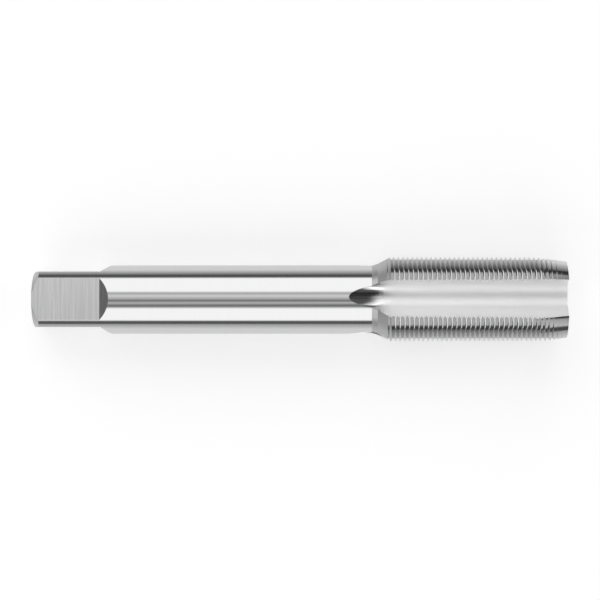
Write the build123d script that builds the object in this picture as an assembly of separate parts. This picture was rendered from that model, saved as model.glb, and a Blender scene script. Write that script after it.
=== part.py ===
from build123d import *
import math
import os

# Straight-flute hand tap for a right-hand M20 x 1 thread, ground from one bar. Millimetres.
# X runs along the tool from the square end (-X) to the cutting tip (+X). The origin is at
# mid-length on the tool's axis, and one of the flutes faces +Z.

# Overall
overall_length = 115.0

# Shank and square drive end
shank_diameter = 15.0
square_across_flats = 12.0
square_length = 14.7            # full-depth flats, from the end face
square_ramp_angle = 35.5        # slope that lifts each flat back to the round shank
end_circle_diameter = 12.0      # flat end face inside the turned end chamfer
end_chamfer_angle = 45.0

# Shoulder between shank and thread, turned in two steps
shoulder_length = 3.8           # from the end of the plain shank to the thread
lip_length = 1.25               # first, gentler step of the shoulder
lip_angle = 22.0
shoulder_angle = 33.5

# Thread
thread_diameter = 20.0
thread_length = 38.0            # from the tip to the shoulder
thread_pitch = 1.0
thread_angle = 60.0
crest_flat = 0.125              # width left on each crest; the roots are sharp

# Cutting lead: the first threads are ground down to a short cone, relieved behind each edge
lead_length = 5.2
lead_angle = 8.9
lead_relief_angle = 3.0

# Flutes
flute_count = 4
flute_opening_angle = 48.5      # seen from the axis, crest to crest, at the back of the thread
rake_angle = 10.0               # hook of the cutting face against the radius
flute_floor_radius = 3.3
core_diameter = 10.9            # carried straight on to where the run-out is measured from
core_taper_angle = 0.75         # the flutes get deeper towards the tip
flute_past_thread = 1.4         # from the thread to where floor and run-out would meet
flute_ramp_angle = 16.6         # steepest slope of the run-out, where it leaves the shank
flute_wheel_radius = 33.0       # the wheel lifts out along an arc of its own radius

# Centre holes in both ends
centre_mouth_diameter = 4.6
centre_angle = 60.0
centre_pilot_diameter = 2.0
centre_depth = 4.5              # to the end of the pilot's full width
drill_point_angle = 118.0

square_sides = 4
shank_radius = shank_diameter / 2
thread_radius = thread_diameter / 2
core_radius = core_diameter / 2
end_x = -overall_length / 2
tip_x = overall_length / 2
thread_start_x = tip_x - thread_length
flute_step = 360 / flute_count
clear = 2.0                     # how far every cutter reaches past the metal


def tan(degrees):
    return math.tan(math.radians(degrees))


def spin_about_x(points):
    """Turn a closed outline of (x, radius) points about the tool's axis."""
    return revolve(make_face(Polyline(*points, close=True)), Axis.X)


def around(cutter, count):
    """The cutter, repeated evenly about the tool's axis."""
    return [Rot(X=index * 360 / count) * cutter for index in range(count)]


def make_blank():
    """The turned bar: chamfered end, plain shank, two-step shoulder and thread cylinder."""
    end_radius = end_circle_diameter / 2
    chamfer_x = end_x + (shank_radius - end_radius) / tan(end_chamfer_angle)
    shoulder_x = thread_start_x - shoulder_length
    lip_x = shoulder_x + lip_length
    lip_radius = shank_radius + lip_length * tan(lip_angle)
    full_x = lip_x + (thread_radius - lip_radius) / tan(shoulder_angle)
    return spin_about_x([
        (end_x, 0),
        (end_x, end_radius),
        (chamfer_x, shank_radius),
        (shoulder_x, shank_radius),
        (lip_x, lip_radius),
        (full_x, thread_radius),
        (tip_x, thread_radius),
        (tip_x, 0),
    ])


def make_flat_cutter():
    """Metal above one flat of the square, with the slope where the cutter left the bar."""
    flat_z = square_across_flats / 2
    top_z = shank_radius + clear
    flat_end_x = end_x + square_length
    outline = Polyline(
        (end_x - clear, 0, flat_z),
        (flat_end_x, 0, flat_z),
        (flat_end_x + (top_z - flat_z) / tan(square_ramp_angle), 0, top_z),
        (end_x - clear, 0, top_z),
        close=True,
    )
    return extrude(make_face(outline), shank_diameter, dir=(0, 1, 0), both=True)


def make_thread_comb():
    """The V grooves of one land, as rings. Between grooves the comb comes to a point outside
    the crest circle, so the bar's own surface is left as the flat of each crest. It starts a
    pitch early, where the shoulder is still below the roots, so the first groove fades in."""
    sharp_radius = thread_radius + crest_flat / 2 / tan(thread_angle / 2)
    root_radius = sharp_radius - thread_pitch / 2 / tan(thread_angle / 2)
    back_radius = sharp_radius + clear
    first_x = thread_start_x - thread_pitch
    groove_count = math.ceil(thread_length / thread_pitch) + 2
    teeth = [(first_x, back_radius), (first_x, sharp_radius)]
    for groove in range(groove_count):
        groove_x = first_x + groove * thread_pitch
        teeth.append((groove_x + thread_pitch / 2, root_radius))
        teeth.append((groove_x + thread_pitch, sharp_radius))
    teeth.append((first_x + groove_count * thread_pitch, back_radius))
    comb = revolve(make_face(Polyline(*teeth, close=True)), Axis.X, flute_step)
    return Rot(X=90 - flute_step) * comb


def make_lead_cutter():
    """Metal outside one land's cutting lead: outside a cone about a line set off from the
    tool's axis, so that the land falls away behind its cutting edge."""
    land_middle = math.radians(90 - flute_step / 2)
    offset = thread_radius * tan(lead_relief_angle)
    line_y = -offset * math.sin(land_middle)
    line_z = offset * math.cos(land_middle)
    edge_angle = math.radians(90 - flute_opening_angle / 2)
    edge_radius = math.hypot(
        thread_radius * math.cos(edge_angle) - line_y,
        thread_radius * math.sin(edge_angle) - line_z,
    )

    # The cone reaches the crest of the cutting edge at the back of the lead
    back_x = tip_x - lead_length - (offset + clear) / tan(lead_angle)
    front_x = tip_x + clear
    back_radius = edge_radius + offset + clear
    front_radius = edge_radius - (lead_length + clear) * tan(lead_angle)
    outline = Polyline(
        (back_x, line_y + back_radius, line_z),
        (front_x, line_y + front_radius, line_z),
        (front_x, line_y + back_radius, line_z),
        close=True,
    )
    line = Axis((0, line_y, line_z), (1, 0, 0))
    return revolve(make_face(outline), line, flute_step).rotate(line, 90 - flute_step)


def make_flute_section():
    """A flute seen from the tip, with the tool's axis at (0, 0) and the flute's mouth up:
    straight hooked cutting face on the left, round floor, straight heel on the right."""
    crest = math.radians(flute_opening_angle / 2)
    edge = Vector(-math.sin(crest), math.cos(crest)) * thread_radius
    heel = Vector(math.sin(crest), math.cos(crest)) * thread_radius

    # The cutting face runs inwards from the edge until the floor arc, tangent to it, just
    # touches the core
    lean = crest - math.radians(rake_angle)
    inwards = Vector(math.sin(lean), -math.cos(lean))
    across = Vector(math.cos(lean), math.sin(lean))
    start = edge + across * flute_floor_radius
    drop = -start.dot(inwards)
    depth = drop - math.sqrt(drop**2 - start.length**2 + (core_radius + flute_floor_radius)**2)
    centre = start + inwards * depth
    face_foot = centre - across * flute_floor_radius
    floor = centre.normalized() * core_radius

    # The heel runs outwards from the same arc, tangent to it, through its own crest
    to_centre = centre - heel
    swing = math.degrees(math.asin(flute_floor_radius / to_centre.length))
    downwards = to_centre.normalized().rotate(Axis.Z, swing)
    heel_foot = heel + downwards * math.sqrt(to_centre.length**2 - flute_floor_radius**2)

    edge_top = edge - inwards * clear
    heel_top = heel - downwards * clear
    sides = Polyline(heel_foot, heel_top, edge_top, face_foot)
    return make_face(sides + ThreePointArc(face_foot, floor, heel_foot))


def make_flute_cutter():
    """One flute, swept from past the tip back along the thread and up out of the shank."""
    full_x = thread_start_x - flute_past_thread
    straight = tip_x + clear - full_x
    lift = shank_radius + clear - core_radius
    path = FilletPolyline(
        (tip_x + clear, 0, core_radius - straight * tan(core_taper_angle)),
        (full_x, 0, core_radius),
        (full_x - lift / tan(flute_ramp_angle), 0, core_radius + lift),
        radius=flute_wheel_radius,
    )
    seat = Plane(origin=path @ 0, x_dir=(0, -1, 0), z_dir=path % 0)
    return sweep(seat * Pos(Y=-core_radius) * make_flute_section(), path)


def make_centre_hole():
    """Centre hole at the tip end: a seat for a cone point, with a short pilot."""
    pilot_radius = centre_pilot_diameter / 2
    mouth_radius = centre_mouth_diameter / 2
    seat_depth = (mouth_radius - pilot_radius) / tan(centre_angle / 2)
    point_depth = pilot_radius / tan(drill_point_angle / 2)
    return spin_about_x([
        (tip_x - centre_depth - point_depth, 0),
        (tip_x - centre_depth, pilot_radius),
        (tip_x - seat_depth, pilot_radius),
        (tip_x, mouth_radius),
        (tip_x + clear, mouth_radius),
        (tip_x + clear, 0),
    ])


def make_tap():
    tap = make_blank() - around(make_flat_cutter(), square_sides)

    # A right-hand thread moves on by one pitch in a full turn, so each land's grooves stand
    # ahead of the last land's by its share of the pitch
    lands = enumerate(around(make_thread_comb(), flute_count))
    tap -= [Pos(X=index * thread_pitch / flute_count) * comb for index, comb in lands]
    tap -= around(make_lead_cutter(), flute_count)
    tap -= around(make_flute_cutter(), flute_count)

    hole = make_centre_hole()
    return tap - [hole, mirror(hole, about=Plane.YZ)]


os.makedirs("parts", exist_ok=True)
export_step(make_tap(), "parts/tap.step")
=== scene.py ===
# %% [markdown]
# # A straight-flute hand tap, ground from one steel bar
#
# A tap cuts a screw thread inside a drilled hole. It is made from a single round bar: turned
# on a lathe, milled square at one end for a wrench, threaded at the other, and then slotted
# lengthwise with four flutes, which leave the cutting edges and give the chips somewhere to
# go. Every surface is finished by a grinding wheel, so its look comes from two things: true
# form, and the direction of the fine marks that each wheel leaves.
#
# The lesson follows the order of the workshop. A blank is turned, and then each cutter takes
# its share away, leaving its own finish behind. The solid model of the part is loaded first
# and stays as the frame that everything is measured against.

# %% Load the solid model
import math

import bpy
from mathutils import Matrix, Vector


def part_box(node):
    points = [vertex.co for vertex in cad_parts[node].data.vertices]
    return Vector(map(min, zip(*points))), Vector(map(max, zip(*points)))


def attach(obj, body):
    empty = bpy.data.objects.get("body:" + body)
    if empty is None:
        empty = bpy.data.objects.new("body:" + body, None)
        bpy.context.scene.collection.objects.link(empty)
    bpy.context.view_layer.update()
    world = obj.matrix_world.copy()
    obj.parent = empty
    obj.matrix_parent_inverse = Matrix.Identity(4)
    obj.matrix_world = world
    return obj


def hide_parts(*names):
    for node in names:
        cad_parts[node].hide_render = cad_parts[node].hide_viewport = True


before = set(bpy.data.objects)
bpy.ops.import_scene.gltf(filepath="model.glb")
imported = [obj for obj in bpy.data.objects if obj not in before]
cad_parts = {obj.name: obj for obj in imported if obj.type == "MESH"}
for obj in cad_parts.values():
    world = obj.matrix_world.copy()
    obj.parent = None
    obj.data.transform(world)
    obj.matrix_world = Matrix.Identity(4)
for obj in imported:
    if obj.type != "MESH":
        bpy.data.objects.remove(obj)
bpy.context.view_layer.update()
mm = 0.001

# %% [markdown]
# ## The sizes of the tool
#
# A tap is bought by its thread, and nearly every other size follows from a standard: the
# shank is thinner than the thread so that it passes through the finished hole, and the
# square is cut from the shank. X runs along the tool, from the square end to the tip, and
# the tool's axis is the X axis. The overall length is read from the solid model.

# %% Driving sizes, in metres and degrees
end_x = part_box("tap")[0].x
tip_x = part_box("tap")[1].x

shank_radius = 7.5 * mm
square_across_flats = 12 * mm
square_length = 14.7 * mm
square_ramp_angle = 35.5
end_circle_radius = 6 * mm
end_chamfer_angle = 45

thread_radius = 10 * mm
thread_length = 38 * mm
thread_pitch = 1 * mm
thread_angle = 60
crest_flat = 0.125 * mm

shoulder_length = 3.8 * mm
lip_length = 1.25 * mm
lip_angle = 22
shoulder_angle = 33.5

flute_count = 4
square_sides = 4
clear = 2 * mm
thread_start_x = tip_x - thread_length
print("thread starts at", round(thread_start_x / mm, 2), "mm")


def tan(degrees):
    return math.tan(math.radians(degrees))


# %% [markdown]
# ## Drawing an outline with one vertex
#
# Turned and ground forms all begin as a flat outline. Blender has no pen for mesh outlines,
# but a single vertex does the same work: a small plane is merged to its centre, moved to
# the first corner, and then extruded from corner to corner. The last corner is joined to
# the first where the outline is to be closed.

# %% Pen helpers
def pen_down(name, corner):
    """Start an outline: one vertex, at the first corner, in edit mode."""
    bpy.ops.object.select_all(action="DESELECT")
    bpy.ops.mesh.primitive_plane_add(size=mm)
    piece = bpy.context.object
    piece.name = name
    bpy.ops.object.mode_set(mode="EDIT")
    bpy.ops.mesh.merge(type="CENTER")
    bpy.ops.transform.translate(value=corner)
    return piece


def pen_line(step):
    """Carry on in a straight line by the given step."""
    bpy.ops.mesh.extrude_region_move(TRANSFORM_OT_translate={"value": step})


def pen_corners(name, corners, closed=True):
    """An outline of straight lines only."""
    piece = pen_down(name, corners[0])
    for before, after in zip(corners, corners[1:]):
        pen_line(after - before)
    if closed:
        pen_close()
    return piece


def pen_close():
    """Join the last corner to the first, and leave the whole outline selected."""
    bpy.ops.mesh.select_all(action="SELECT")
    bpy.ops.mesh.edge_face_add()
    bpy.ops.mesh.delete(type="ONLY_FACE")
    bpy.ops.mesh.select_all(action="SELECT")


# %% [markdown]
# ## Closing a swept shape
#
# A boolean cut needs a closed body whose faces all point outwards. A swept outline is an
# open tube, so its two ends are filled, its doubled vertices are merged, and its normals
# are worked out again before it is used.

# %% Finishing helper
weld_gap = 0.0002 * mm


def close_body(piece):
    """Fill the open ends, merge doubles, point the faces outwards, and leave edit mode."""
    bpy.ops.mesh.select_all(action="SELECT")
    bpy.ops.mesh.remove_doubles(threshold=weld_gap)
    bpy.ops.mesh.fill_holes(sides=0)
    bpy.ops.mesh.normals_make_consistent(inside=False)
    bpy.ops.object.mode_set(mode="OBJECT")
    return piece


# %% [markdown]
# ## Turning
#
# A lathe spins the bar and a tool follows a profile. Here the profile is spun instead, a
# full turn about the X axis. The number of steps is a multiple of the four flutes and the
# four flats, so every quarter of the tool comes out alike.

# %% Lathe helper
turn_steps = 288
full_turn = 2 * math.pi
x_axis = Vector((1, 0, 0))
y_axis = Vector((0, 1, 0))


def lathe(name, profile):
    """Turn a profile of (x, radius) corners, from axis to axis, into a closed body."""
    corners = [Vector((x, radius, 0)) for x, radius in profile]
    piece = pen_corners(name, corners, closed=False)
    bpy.ops.mesh.select_all(action="SELECT")
    bpy.ops.mesh.spin(steps=turn_steps, angle=full_turn, center=(0, 0, 0), axis=x_axis)
    return close_body(piece)


# %% [markdown]
# ## The turned blank
#
# One bar gives the whole tool. The square end is chamfered so that a wrench slips on, the
# shank is a plain cylinder, and two short cones lead up to the thread's full diameter.

# %% Turn the blank
chamfer_x = end_x + (shank_radius - end_circle_radius) / tan(end_chamfer_angle)
shoulder_x = thread_start_x - shoulder_length
lip_x = shoulder_x + lip_length
lip_radius = shank_radius + lip_length * tan(lip_angle)
full_x = lip_x + (thread_radius - lip_radius) / tan(shoulder_angle)

tap_body = lathe("tap_body", [
    (end_x, 0),
    (end_x, end_circle_radius),
    (chamfer_x, shank_radius),
    (shoulder_x, shank_radius),
    (lip_x, lip_radius),
    (full_x, thread_radius),
    (tip_x, thread_radius),
    (tip_x, 0),
])
print("blank:", len(tap_body.data.polygons), "faces")

# %% [markdown]
# ## Finishes by name
#
# Each wheel leaves its own finish, so each cutter below carries a material, and the boolean
# cut hands that material to the surface it leaves. The materials are only named here. Their
# nodes are built once all the forms are there.

# %% Name the finishes
finish_names = ["ground_round", "ground_square", "ground_flute", "ground_thread", "turned_end"]
finishes = {name: bpy.data.materials.new(name) for name in finish_names}
tap_body.data.materials.append(finishes["ground_round"])


# %% [markdown]
# ## Cutting, and cutting all round
#
# A cutter is taken away with a Boolean modifier, which is then applied. The Manifold solver
# is quick and leaves a watertight body. Flats, flutes and the lead repeat about the axis,
# so one cutter is made and its copies are turned into place, each with its own mesh.

# %% Cutting helpers
def cut(piece, cutter):
    """Take the cutter away from the piece, leaving the cutter's finish on the new faces."""
    bpy.ops.object.select_all(action="DESELECT")
    bpy.context.view_layer.objects.active = piece
    piece.select_set(True)
    step = piece.modifiers.new(cutter.name, "BOOLEAN")
    step.operation = "DIFFERENCE"
    step.solver = "MANIFOLD"
    step.material_mode = "TRANSFER"
    step.object = cutter
    bpy.ops.object.modifier_apply(modifier=step.name)
    bpy.data.objects.remove(cutter)


def around(cutter, finish, count):
    """The cutter and its copies, spaced evenly about the tool's axis."""
    cutter.data.materials.append(finishes[finish])
    copies = [cutter]
    for index in range(1, count):
        bpy.ops.object.select_all(action="DESELECT")
        cutter.select_set(True)
        bpy.context.view_layer.objects.active = cutter
        bpy.ops.object.duplicate()
        copies.append(bpy.context.object)
        bpy.ops.transform.rotate(
            value=full_turn * index / count, orient_axis="X", center_override=(0, 0, 0)
        )
        bpy.ops.object.transform_apply()
    return copies


# %% [markdown]
# ## The square
#
# A wrench holds the tool by four flats, ground a little shallower than the shank's own
# radius so that the corners stay round. Where the wheel left the bar, each flat climbs back
# to the round in a slope, and slope and cylinder meet in a curve.

# %% Grind the four flats
flat_z = square_across_flats / 2
cutter_top = shank_radius + clear
flat_end_x = end_x + square_length
ramp_top_x = flat_end_x + (cutter_top - flat_z) / tan(square_ramp_angle)

flat_cutter = pen_corners("flat_cutter", [
    Vector((end_x - clear, -cutter_top, flat_z)),
    Vector((flat_end_x, -cutter_top, flat_z)),
    Vector((ramp_top_x, -cutter_top, cutter_top)),
    Vector((end_x - clear, -cutter_top, cutter_top)),
])
pen_line(2 * cutter_top * y_axis)
close_body(flat_cutter)
for cutter in around(flat_cutter, "ground_square", square_sides):
    cut(tap_body, cutter)
print("with its square:", len(tap_body.data.polygons), "faces")

# %% [markdown]
# ## The flute, seen from the end
#
# A flute has a cutting face, which leans forward of the radius so that it peels the metal,
# a round floor that curls the chip, and a straight heel. The floor just touches the core,
# the solid middle that carries the load. The outline starts above the cutting edge, runs
# down the face, follows the floor's arc, and climbs out along the heel.

# %% Work out the flute's outline
flute_opening_angle = 48.5
rake_angle = 10
floor_radius = 3.3 * mm
core_radius = 5.45 * mm
core_taper_angle = 0.75
floor_steps = 28

half_opening = math.radians(flute_opening_angle / 2)
face_lean = half_opening - math.radians(rake_angle)
edge = Vector((0, math.sin(half_opening), math.cos(half_opening))) * thread_radius
heel = Vector((0, -math.sin(half_opening), math.cos(half_opening))) * thread_radius

# The floor's arc touches the cutting face on one side, the core below and the heel beyond
inwards = Vector((0, -math.sin(face_lean), -math.cos(face_lean)))
away_from_face = Vector((0, -math.cos(face_lean), math.sin(face_lean)))
arc_start = edge + away_from_face * floor_radius
drop = -arc_start.dot(inwards)
core_to_centre = core_radius + floor_radius
depth = drop - math.sqrt(drop**2 - arc_start.length**2 + core_to_centre**2)
arc_centre = arc_start + inwards * depth
face_foot = arc_centre - away_from_face * floor_radius

to_centre = arc_centre - heel
swing = math.asin(floor_radius / to_centre.length)
heel_slope = math.atan2(to_centre.z, to_centre.y) - swing
down_heel = Vector((0, math.cos(heel_slope), math.sin(heel_slope)))
heel_foot = heel + down_heel * math.sqrt(to_centre.length**2 - floor_radius**2)

face_turn = math.atan2((face_foot - arc_centre).z, (face_foot - arc_centre).y)
heel_turn = math.atan2((heel_foot - arc_centre).z, (heel_foot - arc_centre).y)
floor_sweep = (face_turn - heel_turn) % full_turn
print("floor arc:", round(math.degrees(floor_sweep), 1), "degrees")

# %% [markdown]
# ## Grinding the flutes
#
# The wheel enters at the tip, runs back along the thread a little shallower as it goes, and
# then stops. It is round, so it leaves the shank along an arc of its own radius, and that
# arc gives the pointed oval at the flute's end. The outline is extruded along the thread,
# spun through the arc, and carried straight on above the metal. A negative angle turns the
# spin the right-handed way.

# %% Grind the four flutes
flute_past_thread = 1.4 * mm
flute_ramp_angle = 16.6
flute_wheel_radius = 33 * mm
blend_steps = 24

ramp_turn = math.radians(flute_ramp_angle - core_taper_angle)
corner_x = thread_start_x - flute_past_thread
blend_x = corner_x + flute_wheel_radius * math.tan(ramp_turn / 2)
run = tip_x + clear - blend_x
start = Vector((tip_x + clear, 0, -(tip_x + clear - corner_x) * tan(core_taper_angle)))

flute_cutter = pen_down("flute_cutter", edge - inwards * clear + start)
pen_line(face_foot - edge + inwards * clear)
bpy.ops.mesh.spin(steps=floor_steps, angle=floor_sweep, center=arc_centre + start, axis=x_axis)
pen_line(heel - down_heel * clear - heel_foot)
pen_close()
pen_line((-run, 0, run * tan(core_taper_angle)))
blend_centre = Vector((blend_x, 0, core_radius + (corner_x - blend_x) * tan(core_taper_angle)))
blend_centre.z += flute_wheel_radius
bpy.ops.mesh.spin(steps=blend_steps, angle=-ramp_turn, center=blend_centre, axis=y_axis)
lift = cutter_top - core_radius
pen_line((-lift / tan(flute_ramp_angle), 0, lift))
close_body(flute_cutter)
for cutter in around(flute_cutter, "ground_flute", flute_count):
    cut(tap_body, cutter)
print("with its flutes:", len(tap_body.data.polygons), "faces")

# %% [markdown]
# ## The cutting lead
#
# The first threads are ground down to a short cone, so that the tool starts in its hole and
# each tooth takes a little more than the one before. Behind every edge the land falls away,
# or it would rub. The relief is simply a cone about a line set a little off the axis, one
# for each land.

# %% Grind the lead
lead_length = 5.2 * mm
lead_angle = 8.9
lead_relief_angle = 3
lead_steps = 96

land_turn = full_turn / flute_count
offset = thread_radius * tan(lead_relief_angle)
lead_line = Vector((0, -math.sin(land_turn / 2), math.cos(land_turn / 2))) * offset
edge_radius = (Vector((0, edge.y, edge.z)) - lead_line).length
back_x = tip_x - lead_length - (offset + clear) / tan(lead_angle)
front_x = tip_x + clear
back_radius = edge_radius + offset + clear
front_radius = edge_radius - (lead_length + clear) * tan(lead_angle)

lead_cutter = pen_corners("lead_cutter", [
    lead_line + Vector((back_x, back_radius, 0)),
    lead_line + Vector((front_x, front_radius, 0)),
    lead_line + Vector((front_x, back_radius, 0)),
])
bpy.ops.mesh.spin(steps=lead_steps, angle=-land_turn, center=lead_line, axis=x_axis)
close_body(lead_cutter)
for cutter in around(lead_cutter, "ground_round", flute_count):
    cut(tap_body, cutter)
print("with its lead:", len(tap_body.data.polygons), "faces")

# %% [markdown]
# ## The thread
#
# The thread is one continuous groove, wound right-handed at one pitch a turn. Its section
# is a V, drawn a little past the crest circle and then closed straight up, so that the turns
# of the cutter never touch each other. The Screw modifier winds it, starting behind the
# shoulder, where the cone is still below the roots, so that the groove fades in as a wheel
# makes it.

# %% Wind and cut the thread
thread_steps = 216
first_crest_turn = 45
turns_before = 2

sharp_radius = thread_radius + crest_flat / 2 / tan(thread_angle / 2)
root_radius = sharp_radius - thread_pitch / 2 / tan(thread_angle / 2)
gap = 0.04 * mm
wall_radius = sharp_radius - gap / tan(thread_angle / 2)
half_mouth = thread_pitch / 2 - gap
crest_x = thread_start_x - thread_pitch * first_crest_turn / 360
groove_x = crest_x - thread_pitch * (turns_before + 0.5)
turns = math.ceil((tip_x - groove_x) / thread_pitch) + 1

thread_cutter = pen_corners("thread_cutter", [
    Vector((groove_x, root_radius, 0)),
    Vector((groove_x + half_mouth, wall_radius, 0)),
    Vector((groove_x + half_mouth, thread_radius + clear, 0)),
    Vector((groove_x - half_mouth, thread_radius + clear, 0)),
    Vector((groove_x - half_mouth, wall_radius, 0)),
])
bpy.ops.object.mode_set(mode="OBJECT")
winding = thread_cutter.modifiers.new("winding", "SCREW")
winding.axis = "X"
winding.screw_offset = thread_pitch
winding.iterations = turns
winding.steps = thread_steps
winding.render_steps = thread_steps
bpy.ops.object.modifier_apply(modifier=winding.name)
bpy.ops.object.mode_set(mode="EDIT")
close_body(thread_cutter)
thread_cutter.data.materials.append(finishes["ground_thread"])
cut(tap_body, thread_cutter)
print("with its thread:", len(tap_body.data.polygons), "faces")

# %% [markdown]
# ## Centre holes
#
# The bar is turned and ground between two cone points, and each leaves a small 60 degree
# seat in the end face, with a drilled pilot behind it.

# %% Drill both ends
centre_mouth_radius = 2.3 * mm
centre_pilot_radius = 1 * mm
centre_angle = 60
centre_depth = 4.5 * mm
drill_point_angle = 118

seat_depth = (centre_mouth_radius - centre_pilot_radius) / tan(centre_angle / 2)
point_depth = centre_pilot_radius / tan(drill_point_angle / 2)
for end, into in ((end_x, 1), (tip_x, -1)):
    drill = lathe("centre_drill", [
        (end - into * clear, 0),
        (end - into * clear, centre_mouth_radius),
        (end, centre_mouth_radius),
        (end + into * seat_depth, centre_pilot_radius),
        (end + into * centre_depth, centre_pilot_radius),
        (end + into * (centre_depth + point_depth), 0),
    ])
    drill.data.materials.append(finishes["turned_end"])
    cut(tap_body, drill)
print("with its centres:", len(tap_body.data.polygons), "faces")

# %% [markdown]
# ## End faces and shading
#
# The two end faces, the end chamfer and the two cones of the shoulder were left by the
# lathe, so they take the turned finish. They are picked out by the way they face and where
# they lie along the bar. Faces that meet at more than a few degrees are shaded with a crisp
# edge between them, and the small steps of a curved surface are smoothed over.

# %% Give the ends their finish, and shade
crisp_angle = math.radians(6)
end_face_aim = 0.99             # the tip's end face looks along +X
chamfer_aim = -0.6              # the square's end face and chamfer look along -X
shoulder_aim = -0.1             # the cones of the shoulder lean back the same way

turned_slot = tap_body.data.materials.find("turned_end")
round_slot = tap_body.data.materials.find("ground_round")
for face in tap_body.data.polygons:
    if face.material_index != round_slot:
        continue
    chamfer = face.normal.x < chamfer_aim and face.center.x < chamfer_x
    shoulder = face.normal.x < shoulder_aim and shoulder_x < face.center.x < full_x
    if chamfer or shoulder or face.normal.x > end_face_aim:
        face.material_index = turned_slot

bpy.ops.object.select_all(action="DESELECT")
tap_body.select_set(True)
bpy.context.view_layer.objects.active = tap_body
bpy.ops.object.shade_smooth_by_angle(angle=crisp_angle)
triangles = sum(len(face.vertices) - 2 for face in tap_body.data.polygons)
print("triangles:", triangles, "finishes:", [slot.name for slot in tap_body.data.materials])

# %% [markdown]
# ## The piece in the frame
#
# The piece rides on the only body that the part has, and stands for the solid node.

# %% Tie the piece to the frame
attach(tap_body, "root")
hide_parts("tap")


# %% [markdown]
# ## Shader sums in Python
#
# A small class wraps a node's output, so that an ordinary sum adds the Math nodes for it.
# Every other node comes from one method, which takes its type, its settings and what its
# inputs are fed with. The last three methods are shorthands for nodes that are used often.

# %% The wire class
class Wire:
    """The output of a shader node, which takes part in Python sums."""

    def __init__(self, tree, socket=None):
        self.tree = tree
        self.socket = socket

    def add(self, kind, settings=None, inputs=None, output=0):
        """Add a node, set it up, feed its inputs, and return one of its outputs."""
        node = self.tree.nodes.new(kind)
        for name, value in (settings or {}).items():
            if name == "stops":
                self.set_stops(node.color_ramp, value)
            else:
                setattr(node, name, value)
        for name, value in (inputs or {}).items():
            if isinstance(value, Wire):
                self.tree.links.new(value.socket, node.inputs[name])
            else:
                node.inputs[name].default_value = value
        return Wire(self.tree, node.outputs[output] if node.outputs else None)

    @staticmethod
    def set_stops(ramp, stops):
        """Fill a ramp with (position, grey) stops."""
        while len(ramp.elements) < len(stops):
            ramp.elements.new(1.0)
        for element, (position, grey) in zip(ramp.elements, stops):
            element.position = position
            element.color = (grey, grey, grey, 1)

    def math(self, operation, *values):
        return self.add("ShaderNodeMath", {"operation": operation}, dict(enumerate(values)))

    def __add__(self, other):
        return self.math("ADD", self, other)

    def __radd__(self, other):
        return self.math("ADD", other, self)

    def __sub__(self, other):
        return self.math("SUBTRACT", self, other)

    def __rsub__(self, other):
        return self.math("SUBTRACT", other, self)

    def __mul__(self, other):
        return self.math("MULTIPLY", self, other)

    def __rmul__(self, other):
        return self.math("MULTIPLY", other, self)

    def fade(self, start, end, low, high, curve="LINEAR"):
        """From low to high as this value goes from start to end, and level beyond them."""
        return self.add("ShaderNodeMapRange", {"interpolation_type": curve}, {
            "Value": self, "From Min": start, "From Max": end, "To Min": low, "To Max": high,
        })

    def greys_at(self, stops, span):
        """Greys at given degrees, where this value is an angle out of a range of span."""
        places = [(0.5 + degrees / span, grey) for degrees, grey in stops]
        return self.add("ShaderNodeValToRGB", {"stops": places}, {"Fac": self * (1 / span) + 0.5})

    def colour(self, blue_cast=1):
        """A neutral colour of this brightness, or one that leans to blue."""
        blue = self if blue_cast == 1 else self * blue_cast
        return self.add(
            "ShaderNodeCombineColor", None, {"Red": self, "Green": self, "Blue": blue}
        )


def fresh_tree(owner):
    """Give a material or a world an empty set of nodes, and a wire to build them with."""
    owner.use_nodes = True
    owner.node_tree.nodes.clear()
    return Wire(owner.node_tree)


# %% [markdown]
# ## Grinding marks
#
# A wheel's grit leaves fine scratches that run the way the wheel travelled. A noise that is
# squeezed across the scratches and stretched along them has that look. It reads the place
# on the tool itself, so the marks stay with the steel from every side.

# %% Marks helper
noise_roughness = 0.6


def place_on(tree, axis):
    """How far along one of the object's own axes a point lies, in metres."""
    place = tree.add("ShaderNodeTexCoord", output="Object")
    return tree.add("ShaderNodeSeparateXYZ", None, {0: place}, output=axis)


def marks(tree, across, lines_per_mm, stretch, detail=3):
    """Noise lines, from 0 to 1: fine along the axes named in across, drawn out on others."""
    place = tree.add("ShaderNodeTexCoord", output="Object")
    fine = lines_per_mm / mm
    scale = [fine if letter in across else fine / stretch for letter in "xyz"]
    scaled = tree.add(
        "ShaderNodeMapping", {"vector_type": "POINT"}, {"Vector": place, "Scale": scale}
    )
    return tree.add("ShaderNodeTexNoise", {"noise_dimensions": "3D"}, {
        "Vector": scaled, "Scale": 1.0, "Detail": detail, "Roughness": noise_roughness,
    })


# %% [markdown]
# ## Ground steel
#
# The marks shift the grey and the roughness a little, and a bump tilts the surface across
# the scratches, so that reflections smear that way and stay sharp the other. Where the
# wheel lifts out of a flute it only polishes, so there the pattern fades and the steel is
# smoother. The fade follows the place along the tool, from the shoulder to a little way
# into the thread.

# %% Steel helper
micron = 0.001 * mm
rough_swing = 0.06
steel_blue = 1.004
fade_end_x = thread_start_x + 2 * mm


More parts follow.
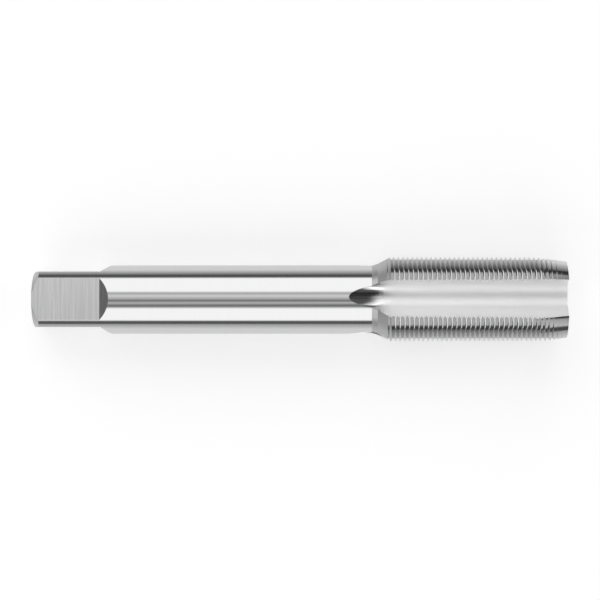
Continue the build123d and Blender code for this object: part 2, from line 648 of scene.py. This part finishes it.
def build_steel(name, grey, roughness, lines, depth, grey_swing=0.04, runout_roughness=None):
    """Bright steel whose grey, roughness and surface follow the given grinding lines."""
    tree = fresh_tree(finishes[name])
    pattern = marks(tree, **lines)
    shade = pattern * grey_swing + (grey - grey_swing / 2)
    rough = pattern * rough_swing + (roughness - rough_swing / 2)
    if runout_roughness:
        share = place_on(tree, "X").fade(shoulder_x, fade_end_x, 0.0, 1.0, "SMOOTHSTEP")
        pattern = pattern * share
        rough = rough * share + runout_roughness * (1 - share)
    bump = tree.add(
        "ShaderNodeBump", None, {"Strength": 1.0, "Distance": depth, "Height": pattern}
    )
    surface = tree.add("ShaderNodeBsdfPrincipled", None, {
        "Base Color": shade.colour(steel_blue), "Metallic": 1.0,
        "Roughness": rough, "Normal": bump,
    })
    tree.add("ShaderNodeOutputMaterial", None, {"Surface": surface})


# %% [markdown]
# ## The five finishes
#
# On the shank, the lead and the crests the marks run round the bar. On the flats they run
# across the tool. In the flutes they run lengthwise, and the finish is duller, but for the
# run-out. The thread wheel follows the groove, and the lathe leaves rings on the end faces
# and the shoulder. The greys are partly painted light and shade: the flats and the flutes
# are painted paler than the shank, which brightens them, and the turned faces darker, which
# shades them.

# %% Build the finishes
build_steel(
    "ground_round", grey=0.60, roughness=0.10, depth=0.5 * micron,
    lines={"across": "x", "lines_per_mm": 9, "stretch": 60},
)
# painted light: the flats' grey is set paler than the shank's
build_steel(
    "ground_square", grey=0.85, roughness=0.20, depth=3 * micron, grey_swing=0.45,
    lines={"across": "x", "lines_per_mm": 4, "stretch": 50, "detail": 4},
)
# painted light: the flutes' grey is set paler than the shank's
build_steel(
    "ground_flute", grey=0.95, roughness=0.50, depth=20 * micron, runout_roughness=0.13,
    lines={"across": "yz", "lines_per_mm": 20, "stretch": 2000, "detail": 1},
)
build_steel(
    "ground_thread", grey=0.62, roughness=0.10, depth=0.4 * micron,
    lines={"across": "x", "lines_per_mm": 14, "stretch": 60},
)
# painted shade: the turned faces' grey is set darker than the shank's
build_steel(
    "turned_end", grey=0.42, roughness=0.28, depth=1 * micron,
    lines={"across": "yz", "lines_per_mm": 6, "stretch": 20},
)
print("finishes:", finish_names)

# %% [markdown]
# ## How it lies
#
# On a bench the tool rests on the crests at the back of its thread and on the shank by the
# square, so its axis climbs by about a degree and a half. The model stays level in its own
# frame, and the floor is laid through those two places instead.

# %% Lay the floor
crest_drop = thread_radius * math.cos(half_opening)
shank_start_x = flat_end_x + (shank_radius - flat_z) / tan(square_ramp_angle)
rest_angle = math.atan((crest_drop - shank_radius) / (thread_start_x - shank_start_x))
floor_size = 3.0

bpy.ops.object.select_all(action="DESELECT")
bpy.ops.mesh.primitive_plane_add(
    size=floor_size, location=(thread_start_x, 0, -crest_drop), rotation=(0, rest_angle, 0)
)
floor = bpy.context.object
floor.name = "floor"
print("floor tilt:", round(math.degrees(rest_angle), 2), "degrees")

# %% [markdown]
# ## The bench
#
# The bench is a pale sheet, lit evenly: part of its light is a glow of its own, and part is
# what falls on it, so that the tool still leaves a soft shade. A mirror-bright tool shows
# far more of the sheet than the eye does, and all but the nearest part lies in the shade of
# the lamps. That shade is painted: in reflections only, the sheet's colour and glow are
# darkened with distance, and more behind the tool than before it.

# %% Paint the floor
floor_grey = 0.72
floor_glow = 0.49
near_floor = 30 * mm
front_shade = 0.45
back_shade = 0.2
front_y = -30 * mm
back_y = 60 * mm

floor_paint = bpy.data.materials.new("floor_paint")
paint = fresh_tree(floor_paint)
floor_y = place_on(paint, "Y")
floor_x = place_on(paint, "X") + thread_start_x
past_end = paint.math("MAXIMUM", paint.math("ABSOLUTE", floor_x) - tip_x, 0)
distance = paint.math("POWER", floor_y * floor_y + past_end * past_end, 0.5)
closeness = paint.math("MINIMUM", paint.math("DIVIDE", near_floor, distance), 1)
far_shade = floor_y.fade(front_y, back_y, front_shade, back_shade)
mirrored = paint.add("ShaderNodeLightPath", output="Is Glossy Ray")
# painted shade: seen in reflections, the sheet darkens with distance from the tool
painted_floor_light = 1 - mirrored * (1 - far_shade) * (1 - closeness)
floor_surface = paint.add("ShaderNodeBsdfPrincipled", None, {
    "Base Color": (painted_floor_light * floor_grey).colour(), "Roughness": 1.0, "Specular IOR Level": 0.0,
    "Emission Color": (painted_floor_light * floor_glow).colour(), "Emission Strength": 1.0,
})
paint.add("ShaderNodeOutputMaterial", None, {"Surface": floor_surface})
floor.data.materials.append(floor_paint)
print("floor painted:", floor_paint.name)

# %% [markdown]
# ## Light: a room about the tool
#
# Bright steel shows its surroundings, so the light is drawn as a room: two long white
# panels, one each side, a narrow dim gap between them overhead, and darkness low down
# before the white bench begins. The panels are bands by the angle about the tool's axis,
# in degrees from straight up, positive toward +Y.

# %% Paint the bands about the tool
to_degrees = 180 / math.pi
panel = 1.5

room = bpy.data.worlds.new("room")
bpy.context.scene.world = room
sky = fresh_tree(room)
toward = sky.add("ShaderNodeTexCoord", output="Generated")
toward_x, toward_y, toward_z = [
    sky.add("ShaderNodeSeparateXYZ", None, {0: toward}, output=axis) for axis in "XYZ"
]
angle = sky.math("ARCTAN2", toward_y, toward_z) * to_degrees
bands = angle.greys_at([
    (-95, 0.12),
    (-78, 0.14),
    (-73.5, panel),
    (-32, panel),
    (-25.5, 0.35),
    (-21, 0.20),
    (-12, 0.75),
    (-5, 0.20),
    (1, 0.60),
    (11.5, 1.02),
    (19, 0.62),
    (22, 0.62),
    (27, panel),
    (74, panel),
    (79, 0.13),
    (95, 0.10),
], span=360)
print("panels:", panel)

# %% [markdown]
# ## Light: the ends of the room
#
# The lean is the angle along the tool, in degrees from straight up, positive toward the
# tip. Past the panels' ends the room is dark, which is what the flute's run-out shows. The
# end of one panel stands nearer than that of the other, so the dark patch in the run-out
# is slanted. Beyond the dark there is light again, and the wall behind the square is lit
# softly, which is what the square's ramps and the shoulder show.

# %% Paint the ends of the room
nearer_end = 10

lean = sky.math("ARCSINE", toward_x) * to_degrees
side_share = angle.greys_at([
    (-52, 0.0),
    (-43, 1.0),
    (-20, 1.0),
    (-6, 0.2),
    (4, 0.0),
    (20, 0.0),
    (32, 0.25),
], span=360)
panel_reach = (lean + side_share * nearer_end).greys_at([
    (-46, 0.0),
    (-20, 1.0),
    (16, 1.0),
    (26, 0.04),
], span=180)
far_light = lean.fade(36, 43, 0.0, 0.6)
wall = lean.greys_at([
    (-90, 0.60),
    (-80, 0.50),
    (-72, 0.25),
    (-66, 0.42),
    (-46, 0.80),
    (-34, 0.65),
    (-20, 0.0),
], span=180)
recess = sky.math("ABSOLUTE", angle).fade(18, 50, 0.2, 1.0)
print("ends of the room painted")

# %% [markdown]
# ## Light: the room as a whole
#
# The bands are dimmed by how far the panels reach, and the wall is added. What the camera
# sees of the room directly is plain white, as the bench is.

# %% Put the room together
backdrop = 1.0

light = bands * (panel_reach + far_light) + wall * recess
seen = sky.add("ShaderNodeLightPath", output="Is Camera Ray")
shown = sky.add("ShaderNodeMix", {"data_type": "FLOAT"}, {0: seen, 2: light, 3: backdrop})
background = sky.add("ShaderNodeBackground", None, {"Color": shown})
sky.add("ShaderNodeOutputWorld", None, {"Surface": background})
print("room painted, backdrop:", backdrop)

# %% [markdown]
# ## Camera
#
# The camera looks straight down on the bench from about forty centimetres, with a long
# lens, so that the far end of the tool is seen almost as squarely as the middle. It stands
# a degree off to one side.

# %% Set up the camera
camera_distance = 392 * mm
camera_lens = 108.2
camera_sensor = 36.0
camera_near = 10 * mm
camera_swing = math.radians(1.0)
aim = Vector((0.165 * mm, -0.11 * mm, 0))

camera_data = bpy.data.cameras.new("camera")
camera_data.lens = camera_lens
camera_data.sensor_width = camera_sensor
camera_data.clip_start = camera_near
camera = bpy.data.objects.new("camera", camera_data)
bpy.context.scene.collection.objects.link(camera)
camera.rotation_euler = (camera_swing, rest_angle, 0)
camera.location = aim + camera.rotation_euler.to_matrix() @ Vector((0, 0, camera_distance))
bpy.context.scene.camera = camera
bpy.context.scene.view_settings.view_transform = "Standard"
print("camera at, mm:", [round(c / mm, 1) for c in camera.location])
